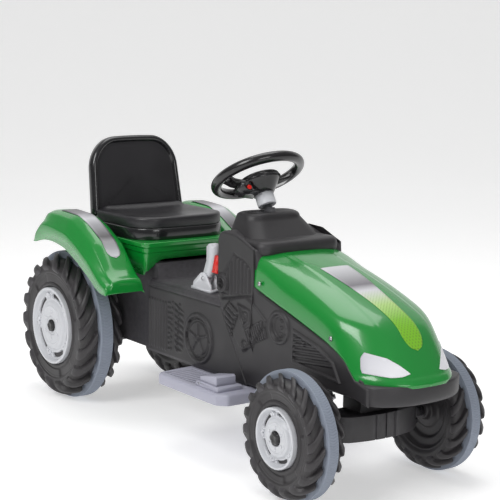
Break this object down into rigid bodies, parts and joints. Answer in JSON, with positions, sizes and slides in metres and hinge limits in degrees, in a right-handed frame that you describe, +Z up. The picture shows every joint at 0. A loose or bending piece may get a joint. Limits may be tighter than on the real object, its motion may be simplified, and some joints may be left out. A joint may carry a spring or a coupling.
{
  "type": "ride-on toy tractor",
  "caption": "Child's battery ride-on tractor with chunky wheels, fendered seat, steering wheel, long sloping hood and side footboards.",
  "frame": {"origin": "on the ground under the middle of the tractor's bounding box", "axes": "+Z up, the tractor faces -Y, +X is the driver's left"},
  "size_m": [0.468, 1.253, 0.6266],
  "materials": {
    "tread_rubber": "ribbed grey rubber, matt",
    "wheel_plastic": "moulded charcoal plastic, fine grain",
    "rim_plastic": "silver-grey moulded plastic, satin",
    "cap_plastic": "black, semi-gloss",
    "body_plastic": "moulded charcoal plastic, satin grain",
    "green_plastic": "glossy green injection moulding",
    "seat_plastic": "black, glossy on the sides, grained on the faces",
    "steering_plastic": "black, glossy",
    "grey_plastic": "pale lavender-grey moulding, satin",
    "lever_grey": "light grey moulding, satin",
    "red_plastic": "red moulding, semi-gloss",
    "lamp_silver": "silver-white foil",
    "sticker_film": "printed vinyl film",
    "axle_steel": "zinc-plated bar",
    "inner_plastic": "black technical plastic",
    "battery_case": "sealed lead-acid battery case",
    "motor_steel": "pressed steel motor can"
  },
  "bodies": {
    "root": {"battery": "battery_case", "battery_tray": "inner_plastic", "body_screws": "axle_steel", "column_bush_floor": "inner_plastic", "column_bush_top": "inner_plastic", "fender_left": "green_plastic", "fender_right": "green_plastic", "fender_stickers": "sticker_film", "footboard": "grey_plastic", "front_axle_beam": "body_plastic", "front_body": "body_plastic", "gearbox_left": "inner_plastic", "gearbox_right": "inner_plastic", "headlight_left": "lamp_silver", "headlight_right": "lamp_silver", "hood": "green_plastic", "hood_sticker": "sticker_film", "kingpins": "axle_steel", "lever_bracket": "lever_grey", "lever_pin": "axle_steel", "motor_left": "motor_steel", "motor_right": "motor_steel", "pedal_base": "grey_plastic", "pedal_pin": "axle_steel", "rear_axle": "axle_steel", "rear_body": "body_plastic", "seat": "seat_plastic", "seat_base": "seat_plastic", "seat_deck": "green_plastic"},
    "rear_wheel_right": {"rear_tyre_right": "wheel_plastic", "rear_rim_right": "rim_plastic", "rear_traction_band_right": "tread_rubber", "rear_axle_cap_right": "cap_plastic", "drive_dog_right": "inner_plastic"},
    "rear_wheel_left": {"rear_tyre_left": "wheel_plastic", "rear_rim_left": "rim_plastic", "rear_traction_band_left": "tread_rubber", "rear_axle_cap_left": "cap_plastic", "drive_dog_left": "inner_plastic"},
    "steering": {"steering_wheel": "steering_plastic", "wheel_cover": "steering_plastic", "button_pod": "steering_plastic", "column_collar": "lever_grey", "steering_column": "axle_steel"},
    "red_button": {"red_button": "red_plastic"},
    "tie_rod": {"tie_rod": "axle_steel"},
    "knuckle_right": {"knuckle_right": "axle_steel"},
    "knuckle_left": {"knuckle_left": "axle_steel"},
    "front_wheel_right": {"front_tyre_right": "wheel_plastic", "front_rim_right": "rim_plastic", "front_traction_band_right": "tread_rubber", "front_axle_cap_right": "cap_plastic"},
    "front_wheel_left": {"front_tyre_left": "wheel_plastic", "front_rim_left": "rim_plastic", "front_traction_band_left": "tread_rubber", "front_axle_cap_left": "cap_plastic"},
    "pedal": {"pedal": "grey_plastic"},
    "gear_lever": {"gear_lever": "lever_grey", "lever_grip": "red_plastic"}
  },
  "joints": [
    {"name": "rear_wheel_right_spin", "type": "hinge", "parent": "root", "child": "rear_wheel_right", "pos_m": [-0.16, 0.4515, 0.175], "axis": [1, 0, 0], "continuous": true},
    {"name": "rear_wheel_left_spin", "type": "hinge", "parent": "root", "child": "rear_wheel_left", "pos_m": [0.16, 0.4515, 0.175], "axis": [1, 0, 0], "continuous": true},
    {"name": "steering_turn", "type": "hinge", "parent": "root", "child": "steering", "pos_m": [0, -0.0815, 0.5685], "axis": [0, 0.518, 0.8554], "range_deg": [-40, 40]},
    {"name": "red_button_press", "type": "slide", "parent": "steering", "child": "red_button", "axis": [0, 0.8554, -0.518], "range_m": [0, 0.0015], "stiffness_N_per_m": 400},
    {"name": "tie_rod_shift", "type": "slide", "parent": "root", "child": "tie_rod", "axis": [1, 0, 0], "range_m": [-0.0213, 0.0213]},
    {"name": "knuckle_right_turn", "type": "hinge", "parent": "root", "child": "knuckle_right", "pos_m": [-0.118, -0.4485, 0.13], "axis": [0, 0, 1], "range_deg": [-20, 20]},
    {"name": "knuckle_left_turn", "type": "hinge", "parent": "root", "child": "knuckle_left", "pos_m": [0.118, -0.4485, 0.13], "axis": [0, 0, 1], "range_deg": [-20, 20]},
    {"name": "front_wheel_right_spin", "type": "hinge", "parent": "knuckle_right", "child": "front_wheel_right", "pos_m": [-0.176, -0.4485, 0.124], "axis": [1, 0, 0], "continuous": true},
    {"name": "front_wheel_left_spin", "type": "hinge", "parent": "knuckle_left", "child": "front_wheel_left", "pos_m": [0.176, -0.4485, 0.124], "axis": [1, 0, 0], "continuous": true},
    {"name": "pedal_press", "type": "hinge", "parent": "root", "child": "pedal", "pos_m": [-0.16, -0.15, 0.16], "axis": [1, 0, 0], "range_deg": [0, 7], "stiffness_Nm_per_rad": 2},
    {"name": "gear_lever_tilt", "type": "hinge", "parent": "root", "child": "gear_lever", "pos_m": [-0.08, -0.0135, 0.347], "axis": [1, 0, 0], "range_deg": [-15, 15]}
  ],
  "couplings": [
    {"joint": "knuckle_right_turn", "follows": "steering_turn", "ratio": 0.5},
    {"joint": "knuckle_left_turn", "follows": "steering_turn", "ratio": 0.5},
    {"joint": "tie_rod_shift", "follows": "steering_turn", "m_per_rad": -0.0303}
  ]
}
